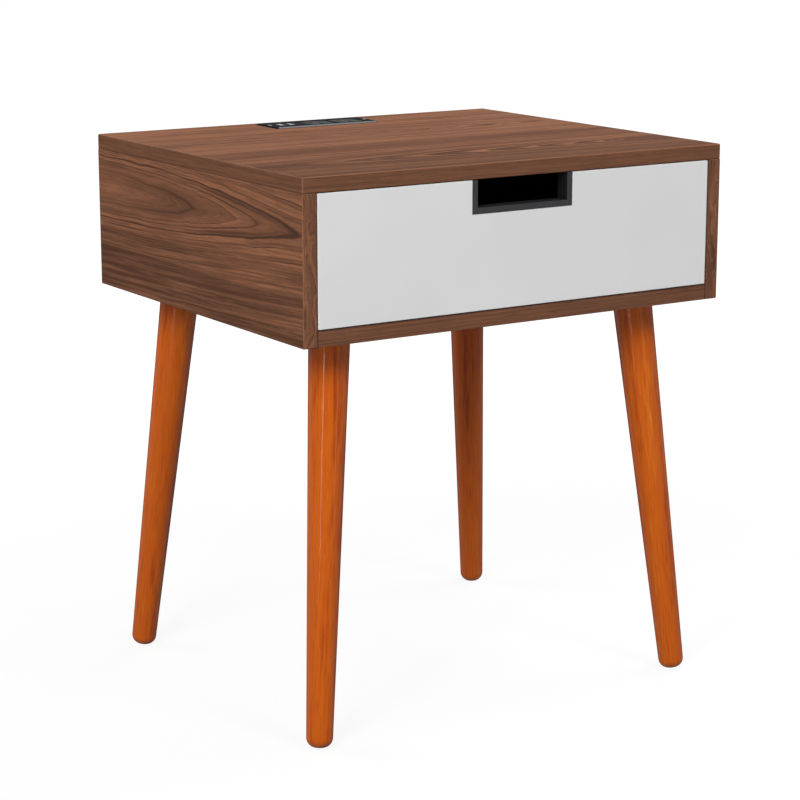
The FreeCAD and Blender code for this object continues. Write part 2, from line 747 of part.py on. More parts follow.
def make_charging_panel():
    """Faceplate, housing, outlets, ports and the electrical pieces behind them."""
    pieces = {}
    zs = (panel_under, panel_high)
    face = plate(0, panel_y, panel_length, panel_width, zs)
    face = face.makeFillet(panel_corner, straight_edges(face, UP))
    face = face.makeChamfer(panel_bevel, edges_at(face, lambda p: abs(p.z - panel_high) < SAME))
    windows = []
    for x in outlet_places:
        window = plate(x, panel_y, outlet_size + 2 * panel_gap, outlet_size + 2 * panel_gap, zs)
        windows.append(window.makeFillet(outlet_corner, straight_edges(window, UP)))
    port_size = (usb_shell_width + 2 * panel_gap, usb_shell_length + 2 * panel_gap)
    for x in usb_places:
        windows.append(plate(x, panel_y, *port_size, zs))
    pieces["panel_faceplate"] = face.cut(windows + panel_screws(hole_gap))
    pieces["panel_screws"] = Part.makeCompound(panel_screws())

    shell = plate(0, panel_y, housing_length, housing_width, (housing_under, panel_under))
    hollow = plate(
        0,
        panel_y,
        housing_length - 2 * housing_wall,
        housing_width - 2 * housing_wall,
        (housing_floor, panel_under),
    )
    ribs = []
    rib_spread = charger_board_width / 2 - charger_rib
    for dy in (-rib_spread, rib_spread):
        rib_z = (housing_under, charger_board_under)
        ribs.append(plate(charger_x, panel_y + dy, charger_board_length, charger_rib, rib_z))
    gland_foot = Vec(gland_x, panel_y + gland_back, housing_under)
    gland_hole = rod(gland_foot - UP * cut_over, UP, gland_radius + hole_gap, housing_wall + 2 * cut_over)
    pieces["panel_housing"] = join(shell.cut(hollow), *ribs).cut(gland_hole)

    for name, x in zip(LEFT_AND_RIGHT, outlet_places):
        insert = plate(x, panel_y, outlet_size, outlet_size, (outlet_under, face_high))
        insert = insert.makeFillet(outlet_corner, straight_edges(insert, UP))
        seat = plate(x, panel_y, outlet_wide, outlet_wide, (outlet_under, panel_under))
        pieces["outlet_" + name] = join(insert, seat).cut(outlet_holes(x, (outlet_under, face_high)))

    tongues = []
    for name, x in zip(LEFT_AND_RIGHT, usb_places):
        port_z = (charger_board_high, port_high)
        shell = plate(x, panel_y, usb_shell_width, usb_shell_length, port_z)
        inner_width = usb_shell_width - 2 * usb_shell_wall
        inner_length = usb_shell_length - 2 * usb_shell_wall
        pieces["usb_port_" + name] = shell.cut(plate(x, panel_y, inner_width, inner_length, port_z))
        base_z = (charger_board_high, charger_board_high + usb_base)
        base = plate(x, panel_y, inner_width - 2 * hole_gap, inner_length - 2 * hole_gap, base_z)
        tongue_z = (charger_board_high, port_high - usb_tongue_drop)
        tongue_length = inner_length - 2 * usb_tongue_gap
        tongues.append(join(base, plate(x, panel_y, usb_tongue_width, tongue_length, tongue_z)))
    pieces["usb_tongues"] = Part.makeCompound(tongues)

    board_z = (charger_board_under, charger_board_high)
    pieces["charger_board"] = plate(charger_x, panel_y, charger_board_length, charger_board_width, board_z)
    coil_z = (charger_board_under - transformer_height, charger_board_under)
    pieces["charger_transformer"] = plate(charger_x, panel_y, transformer_length, transformer_width, coil_z)

    # the line bar lies behind the slots, and the neutral bar before them
    blade_y = panel_y + blade_back
    slot_reach = max(line_slot_length, neutral_slot_length) / 2
    line_back = blade_y + slot_reach + contact_bar_gap + contact_bar
    line_span = (blade_y - line_slot_length / 2, line_back)
    neutral_span = (blade_y - slot_reach - contact_bar, blade_y + neutral_slot_length / 2)
    earth_y = blade_y - earth_drop
    earth_span = (earth_y - earth_radius, earth_y + earth_radius)
    line_x = [x + blade_spacing / 2 for x in outlet_places]
    neutral_x = [x - blade_spacing / 2 for x in outlet_places]
    pieces["line_contacts"] = contact_bar_set(line_x, line_span, line_span[1] - contact_bar / 2)
    pieces["neutral_contacts"] = contact_bar_set(neutral_x, neutral_span, neutral_span[0] + contact_bar / 2)
    pieces["earth_contacts"] = contact_bar_set(outlet_places, earth_span, earth_span[0] + contact_bar / 2)

    neck = rod(gland_foot - UP * gland_tail, UP, gland_radius, gland_tail + housing_wall + gland_rise)
    collar = rod(gland_foot - UP * gland_flange, UP, gland_flange_radius, gland_flange)
    bore_length = gland_tail + housing_wall + gland_rise + 2 * cut_over
    bore = rod(gland_foot - UP * (gland_tail + cut_over), UP, gland_bore_radius, bore_length)
    pieces["cord_gland"] = join(neck, collar).cut(bore)
    return pieces


def make_all():
    """Every piece of the table by name."""
    pieces = {}
    legs = []
    for end_name, end in FRONT_AND_BACK.items():
        for side_name, side in LEFT_AND_RIGHT.items():
            leg = make_leg(side, end)
            place = end_name + "_" + side_name
            pieces["leg_" + place] = leg["leg"]
            pieces["leg_plate_" + place] = leg["plate"]
            legs.append(leg)
    pieces["leg_bolts"] = Part.makeCompound([leg["bolt"] for leg in legs])
    pieces["leg_plate_screws"] = Part.makeCompound([s for leg in legs for s in leg["screws"]])
    pieces.update(make_case_boards(case_joints(), legs, runner_screws(hole_gap)))
    pieces.update(make_case_runners())
    pieces.update(make_drawer())
    pieces.update(make_drawer_runners())
    pieces.update(make_charging_panel())
    return pieces


os.makedirs("parts", exist_ok=True)
for piece_name, piece in make_all().items():
    if not piece.isValid():
        raise ValueError(piece_name + " is not a valid solid")
    piece.exportStep("parts/" + piece_name + ".step")
    print(piece_name, len(piece.Solids), round(piece.Volume, 1))
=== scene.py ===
import math

import bmesh
import bpy
from bpy.props import FloatProperty, FloatVectorProperty, IntProperty, PointerProperty
from mathutils import Matrix, Vector


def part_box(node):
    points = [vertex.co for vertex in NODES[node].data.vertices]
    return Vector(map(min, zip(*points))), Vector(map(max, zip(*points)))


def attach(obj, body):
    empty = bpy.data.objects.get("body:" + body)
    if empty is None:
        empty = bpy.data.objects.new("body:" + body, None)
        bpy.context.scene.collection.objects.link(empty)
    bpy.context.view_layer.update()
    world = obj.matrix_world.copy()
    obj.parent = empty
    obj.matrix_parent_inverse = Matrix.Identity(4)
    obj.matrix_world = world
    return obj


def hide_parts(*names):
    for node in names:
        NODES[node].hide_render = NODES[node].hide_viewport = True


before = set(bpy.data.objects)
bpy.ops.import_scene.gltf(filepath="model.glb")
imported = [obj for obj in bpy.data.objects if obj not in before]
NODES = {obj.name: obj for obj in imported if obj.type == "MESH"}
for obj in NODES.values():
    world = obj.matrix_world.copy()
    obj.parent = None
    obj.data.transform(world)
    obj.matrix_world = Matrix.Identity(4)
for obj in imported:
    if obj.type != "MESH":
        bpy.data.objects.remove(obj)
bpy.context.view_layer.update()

bl_info = {
    "name": "Bedside Table Looks",
    "version": (1, 0, 0),
    "blender": (4, 5, 0),
    "location": "View3D > Sidebar > Bedside Table",
    "description": "Finishes, turned legs and stage for a one-drawer bedside table",
    "category": "Object",
}

# Lengths are in metres, in the frame of the solid model: +X right, +Y back, +Z up, origin on the floor.
SIDES = ("left", "right")
ENDS = ("front", "back")
LEG_PLACES = [end + "_" + side for end in ENDS for side in SIDES]
ROLLER_PLACES = [end + "_roller_" + side for end in ("front", "rear") for side in SIDES]
WHITE = (1.0, 1.0, 1.0)
SHARP_ANGLE = math.radians(35)
SENSOR_WIDTH = 36.0
SIGHT_LENGTH = 100.0
MERGE_GAP = 1e-7
RIM_STEPS = 4
ROLLER_STEPS = 5

# The floor's own light rises to white between these distances from the table's middle
GLOW_BEGIN = 0.5
GLOW_END = 1.8

# The grain of each leg begins this much farther on in the wood than that of the leg before it
GRAIN_STEP = Vector((0.21, 0.13, 0.47))

# Lamps: azimuth and elevation in degrees, distance, width and height, and brightness (1 is white)
LAMPS = {
    "key_softbox": (-56.0, 33.0, 6.0, 2.8, 2.4, 8.0),
    "front_softbox": (12.0, 42.0, 6.0, 1.9, 1.75, 7.3),
    "overhead_softbox": (86.0, 64.0, 2.34, 0.66, 0.66, 9.2),
    "back_left_softbox": (-140.0, 35.0, 2.6, 1.1, 1.0, 3.6),
    "back_right_softbox": (126.0, 35.0, 2.6, 1.1, 1.0, 3.6),
    "left_strip": (-57.0, 13.0, 3.6, 0.24, 2.2, 10.6),
    "right_strip": (14.0, 40.0, 3.6, 0.24, 2.2, 4.2),
    "left_low_strip": (-57.0, 2.0, 1.1, 0.03, 0.6, 6.8),
    "right_low_strip": (14.0, 2.0, 1.1, 0.03, 0.6, 9.0),
}
LAMP_TARGET = Vector((0.0, 0.0, 0.35))


def tone(red, green, blue):
    """A display colour of 0 to 255 as the linear colour that a shader takes."""
    linear = []
    for level in (red, green, blue):
        share = level / 255
        linear.append(share / 12.92 if share <= 0.04045 else ((share + 0.055) / 1.055) ** 2.4)
    return tuple(linear)


def colour_setting(name, description, red, green, blue):
    """A colour that a user can change."""
    return FloatVectorProperty(
        name=name,
        description=description,
        subtype="COLOR",
        size=3,
        min=0.0,
        max=1.0,
        default=tone(red, green, blue),
    )


def length_setting(name, description, metres):
    """A length that a user can change."""
    return FloatProperty(name=name, description=description, unit="LENGTH", default=metres)


def angle_setting(name, description, degrees):
    """An angle that a user can change."""
    return FloatProperty(name=name, description=description, subtype="ANGLE", default=math.radians(degrees))


class BedsideSizes(bpy.types.PropertyGroup):
    """Sizes of the pieces that are modelled here."""

    leg_lean: angle_setting("Leg lean", "Lean of a leg, sideways and endways alike", 5.2)
    leg_top_radius: length_setting("Leg top radius", "Radius of a leg at the case's underside", 0.0198)
    leg_foot_radius: length_setting("Leg foot radius", "Radius of a leg at the floor", 0.0126)
    leg_rim_gap: length_setting("Leg rim gap", "Room between a leg's high rim and its plate", 0.0006)
    leg_plate_steel: length_setting("Leg plate steel", "Thickness of a leg's mounting plate", 0.002)
    foot_round: length_setting("Foot rounding", "Radius of the rounded foot", 0.0095)
    foot_flat: length_setting("Foot flat", "Depth of the flat worn on the foot", 0.0004)
    rim_round: length_setting("Leg rim rounding", "Radius of the eased rim at a leg's top", 0.0008)
    leg_sides: IntProperty(name="Leg sides", description="Faces round a leg", default=96, min=12)
    arc_steps: IntProperty(name="Foot steps", description="Faces along the rounded foot", default=14, min=3)
    roller_bore: length_setting("Roller bore", "Radius of a roller's bore", 0.00255)
    roller_round: length_setting("Roller rounding", "Radius of a roller's rim edges", 0.0006)
    roller_hub: length_setting("Roller hub", "Radius of the raised hub on a roller's sides", 0.0045)
    roller_dish: length_setting("Roller dish", "Depth of the hollow between hub and rim", 0.0008)
    roller_sides: IntProperty(name="Roller sides", description="Faces round a roller", default=64, min=12)


class BedsideColours(bpy.types.PropertyGroup):
    """Colours of the finishes."""

    walnut_light: colour_setting("Walnut light", "Pale streaks of the walnut print", 166, 112, 82)
    walnut_mid: colour_setting("Walnut middle", "Main tone of the walnut print", 131, 89, 67)
    walnut_dark: colour_setting("Walnut dark", "Dark streaks of the walnut print", 96, 65, 50)
    walnut_line: colour_setting("Walnut line", "Thin dark growth lines of the walnut print", 66, 47, 41)
    leg_light: colour_setting("Leg light", "Pale streaks of the stained legs", 224, 115, 20)
    leg_mid: colour_setting("Leg middle", "Main tone of the stained legs", 212, 98, 10)
    leg_dark: colour_setting("Leg dark", "Dark fibres of the stained legs", 176, 66, 1)
    lacquer: colour_setting("Drawer lacquer", "White lacquer of the drawer front", 243, 243, 243)
    pull: colour_setting("Finger pull", "Dark plastic of the finger pull", 47, 47, 49)
    panel: colour_setting("Charging panel", "Black plastic of the charging panel", 21, 24, 25)
    outlet: colour_setting("Outlets", "Dark grey plastic of the outlet faces", 52, 55, 56)
    tongue: colour_setting("Port tongue", "Pale tongues in the charging ports", 232, 234, 234)
    coating: colour_setting("Runner coating", "Powder coating of the drawer runners", 226, 221, 207)
    zinc: colour_setting("Zinc", "Zinc plating of the fasteners", 196, 198, 200)
    steel: colour_setting("Bright steel", "Bare steel of the panel's screws and ports", 212, 214, 216)
    brass: colour_setting("Brass", "Contact springs behind the outlets", 205, 165, 84)
    board_green: colour_setting("Circuit board", "Solder mask of the charger board", 22, 84, 50)
    nylon: colour_setting("Nylon", "Rollers of the drawer runners", 236, 235, 228)
    rubber: colour_setting("Rubber", "Cord gland", 30, 30, 31)
    beech: colour_setting("Beech", "Dowels", 214, 176, 132)


class BedsideStage(bpy.types.PropertyGroup):
    """Camera and light."""

    view_azimuth: angle_setting("View azimuth", "Camera's turn round the table; 0 looks along +Y", -32.83)
    view_elevation: angle_setting("View elevation", "Camera's height angle", 12.76)
    view_distance: length_setting("View distance", "Camera to target", 2.44294)
    view_target: FloatVectorProperty(
        name="View target",
        description="Point in the middle of the picture",
        subtype="TRANSLATION",
        unit="LENGTH",
        default=(-0.00439, 0.0, 0.27593),
    )
    view_lens: FloatProperty(name="Lens", description="Focal length in mm on a 36 mm sensor", default=106.73)
    ambient: FloatProperty(name="Ambient", description="Level of the light from all round", default=0.15)
    floor_tone: FloatProperty(name="Floor", description="Whiteness of the floor", default=0.15)
    floor_lift: FloatProperty(
        name="Floor lift", description="Own light of the floor near the table", default=0.87
    )
    floor_size: length_setting("Floor size", "Side of the floor", 30.0)


class Nodes:
    """A node tree in the making: adds nodes and joins them."""

    def __init__(self, tree):
        self.tree = tree

    def node(self, kind, inputs=None, **settings):
        """A new node with its settings, its values and its links."""
        node = self.tree.nodes.new(kind)
        for key, value in settings.items():
            setattr(node, key, value)
        for key, value in (inputs or {}).items():
            self.put(node.inputs[key], value)
        return node

    def put(self, socket, value):
        """Links a socket, or sets its value."""
        if isinstance(value, bpy.types.NodeSocket):
            self.tree.links.new(value, socket)
        elif socket.type == "RGBA" and len(value) == 3:
            socket.default_value = (*value, 1.0)
        else:
            socket.default_value = value

    def place(self):
        """X, Y and Z of the point on the piece."""
        return self.split(self.node("ShaderNodeTexCoord").outputs["Object"])

    def stored(self, name):
        """A vector that is stored on the mesh."""
        return self.node("ShaderNodeAttribute", attribute_name=name).outputs["Vector"]

    def normal(self):
        """The way that the surface looks."""
        return self.node("ShaderNodeNewGeometry").outputs["Normal"]

    def facing(self, normal):
        """Size of the surface direction's X, Y and Z."""
        return self.split(self.node("ShaderNodeVectorMath", {0: normal}, operation="ABSOLUTE").outputs[0])

    def edge_on(self):
        """0 where the surface is met head-on, 1 where it is met edge-on."""
        return self.node("ShaderNodeLayerWeight", {"Blend": 0.5}).outputs["Facing"]

    def eased(self, facing):
        """1 on rounded and bevelled edges, 0 on the flat faces between them."""
        widest = self.math("MAXIMUM", self.math("MAXIMUM", facing[0], facing[1]), facing[2])
        return self.remap(widest, 0.985, 0.88)

    def seen(self):
        """1 for the rays that show a surface in the picture, in gloss or through glass, else 0."""
        path = self.node("ShaderNodeLightPath").outputs
        either = self.math("MAXIMUM", path["Is Camera Ray"], path["Is Glossy Ray"])
        return self.math("MAXIMUM", either, path["Is Transmission Ray"])

    def split(self, vector):
        """The three parts of a vector."""
        return self.node("ShaderNodeSeparateXYZ", {0: vector}).outputs[:3]

    def join(self, x, y, z):
        """A vector from its three parts."""
        return self.node("ShaderNodeCombineXYZ", {0: x, 1: y, 2: z}).outputs[0]

    def scaled(self, parts, *scales):
        """A vector from three parts, each times its scale."""
        return self.join(*(self.math("MULTIPLY", part, scale) for part, scale in zip(parts, scales)))

    def spot(self, scale):
        """The point on the piece, times a scale."""
        return self.scaled(self.place(), scale, scale, scale)

    def math(self, operation, *values):
        """The outcome of a sum."""
        return self.node("ShaderNodeMath", dict(enumerate(values)), operation=operation).outputs[0]

    def noise(self, vector, detail=2.0, roughness=0.5):
        """Noise of 0 to 1, in steps of about 1 along the vector."""
        inputs = {"Vector": vector, "Scale": 1.0, "Detail": detail, "Roughness": roughness}
        return self.node("ShaderNodeTexNoise", inputs).outputs[0]

    def remap(self, value, low, high, to_low=0.0, to_high=1.0, smooth=True):
        """A number brought from one range to another, and held inside it."""
        inputs = {"Value": value, "From Min": low, "From Max": high, "To Min": to_low, "To Max": to_high}
        kind = "SMOOTHSTEP" if smooth else "LINEAR"
        return self.node("ShaderNodeMapRange", inputs, interpolation_type=kind).outputs[0]

    def choose(self, factor, first, second):
        """A number between two, by a factor."""
        return self.node("ShaderNodeMix", {0: factor, 2: first, 3: second}, data_type="FLOAT").outputs[0]

    def blend(self, factor, first, second):
        """A colour between two, by a factor."""
        inputs = {0: factor, 6: first, 7: second}
        return self.node("ShaderNodeMix", inputs, data_type="RGBA").outputs[2]

    def ramp(self, value, stops):
        """A colour from a list of places and colours."""
        node = self.node("ShaderNodeValToRGB", {"Fac": value})
        points = node.color_ramp.elements
        while len(points) < len(stops):
            points.new(0.5)
        for point, (position, colour) in zip(points, stops):
            point.position = position
            point.color = (*colour, 1.0)
        return node.outputs["Color"]

    def curve(self, value, points):
        """A number of -0.5 to 0.5 that follows points of (value, height) smoothly."""
        points = sorted(points)
        low = points[0][0]
        high = points[-1][0]
        node = self.node("ShaderNodeFloatCurve", {"Value": self.remap(value, low, high, smooth=False)})
        line = node.mapping.curves[0].points
        while len(line) < len(points):
            line.new(0.5, 0.5)
        for handle, (position, height) in zip(line, points):
            handle.location = ((position - low) / (high - low), height)
            handle.handle_type = "AUTO_CLAMPED"
        node.mapping.update()
        return self.math("SUBTRACT", node.outputs[0], 0.5)


class Finish(Nodes):
    """A material in the making, with one surface shader."""

    def __init__(self, name):
        self.material = bpy.data.materials.new(name)
        self.material.use_nodes = True
        super().__init__(self.material.node_tree)
        self.tree.nodes.clear()
        self.shader = self.node("ShaderNodeBsdfPrincipled")
        self.node("ShaderNodeOutputMaterial", {"Surface": self.shader.outputs["BSDF"]})

    def set(self, **values):
        """Sets or links sockets of the surface shader, by their names with underscores."""
        for key, value in values.items():
            self.put(self.shader.inputs[key.replace("_", " ")], value)

    def bump(self, height, distance, strength):
        """Fine relief from a height of 0 to 1."""
        inputs = {"Height": height, "Distance": distance, "Strength": strength}
        self.set(Normal=self.node("ShaderNodeBump", inputs).outputs[0])


def dress(finish, *names):
    """Gives nodes of the solid model a finish."""
    for name in names:
        materials = NODES[name].data.materials
        materials.clear()
        materials.append(finish)


# Direction of the grain, then the direction across it, on the faces that look along X, Y and Z
LENGTHWISE = {"x": "yz", "y": "xz", "z": "xy"}
SIDE_GRAIN = {"x": "yz", "y": "zx", "z": "yx"}

# Growth loops on a board's face: where their axis lies across the grain, how fast they open, where they
# begin along the grain, 1 or -1 for the way that they open, and their bluntness (1 is a point, 2 is round)
TOP_LOOPS = [(0.063, 0.0026, 0.050, -1.0, 2.0), (-0.127, 0.0035, 0.200, 1.0, 2.0)]
LEFT_LOOPS = [(0.4935, 0.0026, -0.025, 1.0, 1.6)]
RIGHT_LOOPS = [(0.4560, 0.0030, 0.020, -1.0, 1.9)]
BACK_LOOPS = [(0.4720, 0.0030, 0.110, 1.0, 1.9)]
LOOP_SOFTNESS = 0.005
LOOP_LENGTH = 0.12
LOOP_REACH = 0.014
RING_WIDTH = 0.0046
RING_PHASE = 0.435

# Where each print lies in the noise
SEEDS = {
    "walnut_top": 11.0,
    "walnut_left_side": 23.0,
    "walnut_right_side": 31.0,
    "walnut_bottom": 47.0,
    "walnut_back": 59.0,
    "drawer_sides": 67.0,
    "drawer_boards": 71.0,
}

# Noise of the print: its seed's offset, its width across the grain, its stretch along the grain, its
# detail and its roughness
STREAKS = {
    "drift": (0.0, 0.045, 5.0, 1.0, 0.5),
    "wobble": (3.0, 0.012, 5.0, 1.0, 0.5),
    "ripple": (5.0, 0.020, 2.2, 1.0, 0.5),
    "swirl": (3.1, 0.015, 2.4, 2.0, 0.5),
    "broad": (7.7, 0.011, 30.0, 3.0, 0.6),
    "fine": (9.1, 0.0021, 80.0, 4.0, 0.7),
    "cloud": (6.3, 0.016, 6.0, 2.0, 0.5),
    "fibre": (2.2, 0.0009, 40.0, 3.0, 0.65),
    "pore": (4.4, 0.0006, 22.0, 1.0, 0.5),
}

# How far the grain wanders across a board
DRIFT = 0.006
WOBBLE = 0.0014
RIPPLE = 0.004
EDGE_SWIRL = 0.03

# How strongly each layer of the print shows
FINE_STREAKS = 1.6
SWIRL_TONE = 0.6
EDGE_LINES = 0.4
PALE_FLANK = 0.85
DARK_FLANK = 0.95
CLOUD = 0.35
FIBRE = 0.55
PORE = 0.40
# How dark the painted shade is on eased edges that look into a joint
JOINT_SHADE_DEPTH = 0.85

# Boards with calm edges: how much of the grain shows on the broad face and on the edges, and how light
# the edges that look along X, Y and Z are
FACE_PRINT = 1.25
EDGE_PRINT = 0.4
EDGE_TONES = {"x": 0.40, "y": 0.46, "z": 0.50}

# Broad bands across a board, as places in metres and how light the wood is there
# The top's bands follow the print's broad bands, and those toward the front are made darker still: painted
# shade
TOP_BANDS_AND_SHADE = [
    (0.206, 0.52), (0.165, 0.62), (0.115, 0.52), (0.060, 0.48), (0.026, 0.58), (-0.020, 0.46),
    (-0.054, 0.36), (-0.080, 0.39), (-0.092, 0.46), (-0.127, 0.22), (-0.160, 0.25), (-0.206, 0.12),
]
LEFT_BANDS = [
    (0.390, 0.42), (0.402, 0.29), (0.416, 0.38), (0.427, 0.35), (0.431, 0.20), (0.435, 0.48), (0.446, 0.42),
    (0.458, 0.48), (0.470, 0.59), (0.482, 0.57), (0.500, 0.53), (0.514, 0.59), (0.530, 0.49),
]

# Tones of the growth loops on the left board, as distances from their heart and how light the wood is there
LEFT_TONES = [
    (-0.0120, 0.50), (-0.0085, 0.48), (-0.0068, 0.36), (-0.0060, 0.40), (-0.0045, 0.50), (0.0060, 0.50),
    (0.0098, 0.56), (0.0107, 0.62), (0.0114, 0.16), (0.0118, 0.34), (0.0123, 0.80), (0.0136, 0.72),
    (0.0147, 0.62), (0.0153, 0.14), (0.0157, 0.40), (0.0162, 0.78), (0.0176, 0.56), (0.0196, 0.48),
    (0.0206, 0.10), (0.0210, 0.30), (0.0216, 0.72), (0.0232, 0.54), (0.0246, 0.58), (0.0252, 0.16),
    (0.0257, 0.62), (0.0280, 0.50), (0.0310, 0.46), (0.0316, 0.18), (0.0321, 0.60), (0.0360, 0.50),
]


def walnut(
    name,
    grain,
    loops=(),
    loop_face="x",
    bands=(),
    tones=(),
    joints=(("z", -1.0),),
    swirled=False,
    calm_edges=False,
):
    """Walnut print: growth lines with a pale and a dark flank, over streaks, fibres and pores. Eased edges get
    a painted highlight, most where they look to the front, and painted shade where they look into a joint.
    Joints are the ways in which the board's eased edges look into a joint, as an axis and 1 or -1."""
    colours = bpy.context.scene.bedside_colours
    seed = SEEDS[name]
    f = Finish(name)
    axes = dict(zip("xyz", f.place()))
    normal = f.normal()
    looks = dict(zip("xyz", f.split(normal)))
    facing = f.facing(normal)
    on_face = {axis: f.math("GREATER_THAN", size, 0.7) for axis, size in zip("xyz", facing)}

    def by_face(index):
        value = f.choose(on_face["y"], axes[grain["z"][index]], axes[grain["y"][index]])
        return f.choose(on_face["x"], value, axes[grain["x"][index]])

    along = by_face(0)
    level = by_face(1)

    def streaks(kind, across):
        offset, pitch, stretch, detail, roughness = STREAKS[kind]
        lengthways = f.math("MULTIPLY", along, 1 / (pitch * stretch))
        crossways = f.math("MULTIPLY", across, 1 / pitch)
        return f.noise(f.join(lengthways, crossways, seed + offset), detail, roughness)

    def sway(kind):
        return f.math("SUBTRACT", streaks(kind, level), 0.5)

    across = f.math("MULTIPLY_ADD", sway("drift"), DRIFT, level)
    across = f.math("MULTIPLY_ADD", sway("wobble"), WOBBLE, across)
    if tones:
        across = f.math("MULTIPLY_ADD", sway("ripple"), f.remap(level, 0.450, 0.480, 0.0, RIPPLE), across)
    if swirled:
        swirl = f.math("MULTIPLY", on_face["y"], sway("swirl"))
        across = f.math("MULTIPLY_ADD", swirl, EDGE_SWIRL, across)

    ring = across
    fields = []
    for axis, opening, begin, way, bluntness in loops:
        aside = f.math("SUBTRACT", across, axis)
        ahead = f.math("MULTIPLY", f.math("SUBTRACT", begin, along), way)
        closing = f.math("MULTIPLY", f.math("TANH", f.math("MULTIPLY", ahead, 1 / LOOP_LENGTH)), LOOP_LENGTH)
        run = f.math("MULTIPLY", f.math("MAXIMUM", ahead, closing), opening)
        reach = f.math("POWER", f.math("MULTIPLY", f.math("ABSOLUTE", aside), 1 / LOOP_REACH), bluntness)
        square = f.math("MULTIPLY_ADD", reach, LOOP_REACH**2, run)
        root = f.math("SQRT", f.math("ADD", f.math("ABSOLUTE", square), LOOP_SOFTNESS**2))
        fields.append(f.math("DIVIDE", square, root))
    if fields:
        field = fields[0]
        for other in fields[1:]:
            field = f.math("MINIMUM", field, other)
        ring = f.choose(on_face[loop_face], ring, field)

    fine_share = FINE_STREAKS
    if tones:
        fine_share = f.choose(on_face[loop_face], 1.4, f.remap(ring, 0.0, 0.030, 0.6, 1.8))
    fine = f.math("SUBTRACT", streaks("fine", ring), 0.5)
    share = f.math("MULTIPLY_ADD", fine, fine_share, streaks("broad", ring))
    if calm_edges:
        printed = f.choose(on_face[loop_face], EDGE_PRINT, FACE_PRINT)
        plain = f.choose(on_face["y"], EDGE_TONES["z"], EDGE_TONES["y"])
        plain = f.choose(on_face["x"], plain, EDGE_TONES["x"])
        share = f.math("MULTIPLY_ADD", f.math("SUBTRACT", share, 0.5), printed, plain)
    if swirled:
        share = f.math("MULTIPLY_ADD", swirl, SWIRL_TONE, share)
    # the bands follow the print; on the top, their darker front is painted shade
    if bands:
        share = f.math("ADD", share, f.math("MULTIPLY", f.curve(across, bands), on_face[loop_face]))
    colour = f.ramp(
        share,
        [
            (0.24, colours.walnut_dark),
            (0.46, colours.walnut_mid),
            (0.54, colours.walnut_mid),
            (0.76, colours.walnut_light),
        ],
    )

    # growth lines: a pale flank after each line and a dark one before it, strong on some and faint on others
    uneven = f.noise(f.join(f.math("MULTIPLY", ring, 55.0), seed, 0.5), 1.0)
    phase = f.math("MULTIPLY_ADD", uneven, 1.2, RING_PHASE - 0.6)
    count = f.math("MULTIPLY_ADD", ring, 1 / RING_WIDTH, phase)
    turn = f.math("FRACT", count)
    number = f.math("FLOOR", count)
    vigour = f.noise(f.join(f.math("MULTIPLY", number, 5.3), f.math("MULTIPLY", along, 3.0), seed), 1.0)
    vigour = f.remap(vigour, 0.34, 0.64, 0.15, 1.0)
    if loops:
        inside = f.remap(ring, 0.030, 0.038) if tones else f.remap(ring, 0.002, 0.010, 0.25, 1.0)
        outside = f.remap(ring, 0.020, 0.045, 1.0, 0.30 if tones else 0.55)
        limit = f.choose(on_face[loop_face], EDGE_LINES, f.math("MULTIPLY", inside, outside))
        vigour = f.math("MULTIPLY", vigour, limit)
    if calm_edges:
        vigour = f.math("MULTIPLY", vigour, printed)
    pale = f.math("MULTIPLY", f.remap(turn, 0.0, 0.08), f.remap(turn, 0.60, 0.12))
    dark = f.math("MULTIPLY", f.remap(turn, 0.62, 0.97), f.remap(turn, 1.0, 0.97))
    pale = f.math("MULTIPLY", f.math("MULTIPLY", pale, vigour), PALE_FLANK)
    dark = f.math("MULTIPLY", f.math("MULTIPLY", dark, vigour), DARK_FLANK)
    colour = f.blend(pale, colour, colours.walnut_light)
    colour = f.blend(dark, colour, colours.walnut_line)

    if tones:
        waver = f.noise(f.join(f.math("MULTIPLY", ring, 160.0), f.math("MULTIPLY", along, 9.0), seed), 1.0)
        tinge = f.math("MULTIPLY", f.curve(ring, tones), on_face[loop_face])
        tinge = f.math("MULTIPLY", tinge, f.remap(waver, 0.30, 0.55, 0.7, 2.2))
        colour = f.blend(f.math("MAXIMUM", tinge, 0.0), colour, colours.walnut_light)
        colour = f.blend(f.math("MULTIPLY", f.math("MINIMUM", tinge, 0.0), -1.0), colour, colours.walnut_line)
    cloud = f.remap(streaks("cloud", across), 0.52, 0.80, 0.0, CLOUD)
    colour = f.blend(cloud, colour, colours.walnut_dark)
    fibre = streaks("fibre", level)
    colour = f.blend(f.remap(fibre, 0.42, 0.74, 0.0, FIBRE), colour, colours.walnut_dark)
    pore = f.remap(streaks("pore", level), 0.60, 0.76)
    colour = f.blend(f.math("MULTIPLY", pore, PORE), colour, colours.walnut_line)

    # eased edges are smoother than the faces, with a painted highlight that is strongest where they look to the
    # front, and painted shade where they look into a joint
    eased = f.eased(facing)
    joint_shade = 0.0
    for axis, way in joints:
        look = f.math("MULTIPLY", looks[axis], way)
        joint_shade = f.math("MAXIMUM", joint_shade, f.math("MULTIPLY", eased, f.remap(look, 0.12, 0.35)))
    highlit_glossy_edge = f.math("SUBTRACT", eased, joint_shade)
    # painted highlight: eased edges are made paler, most where they look to the front; the same mask also makes
    # them glossier
    edge_highlight = f.remap(looks["y"], -0.2, -0.5, 0.25 if swirled else 0.10, 0.45)
    colour = f.blend(f.math("MULTIPLY", highlit_glossy_edge, edge_highlight), colour, colours.walnut_light)
    # painted shade: eased edges that look into a joint are darkened
    colour = f.blend(f.math("MULTIPLY", joint_shade, JOINT_SHADE_DEPTH), colour, colours.walnut_line)
    matt = f.remap(share, 0.3, 0.75, 0.90, 0.82)
    f.set(Base_Color=colour, Roughness=f.choose(highlit_glossy_edge, matt, 0.32), Specular_IOR_Level=0.035)
    f.bump(f.math("SUBTRACT", fibre, f.math("MULTIPLY", pore, 0.6)), 0.00012, 0.45)
    return f.material


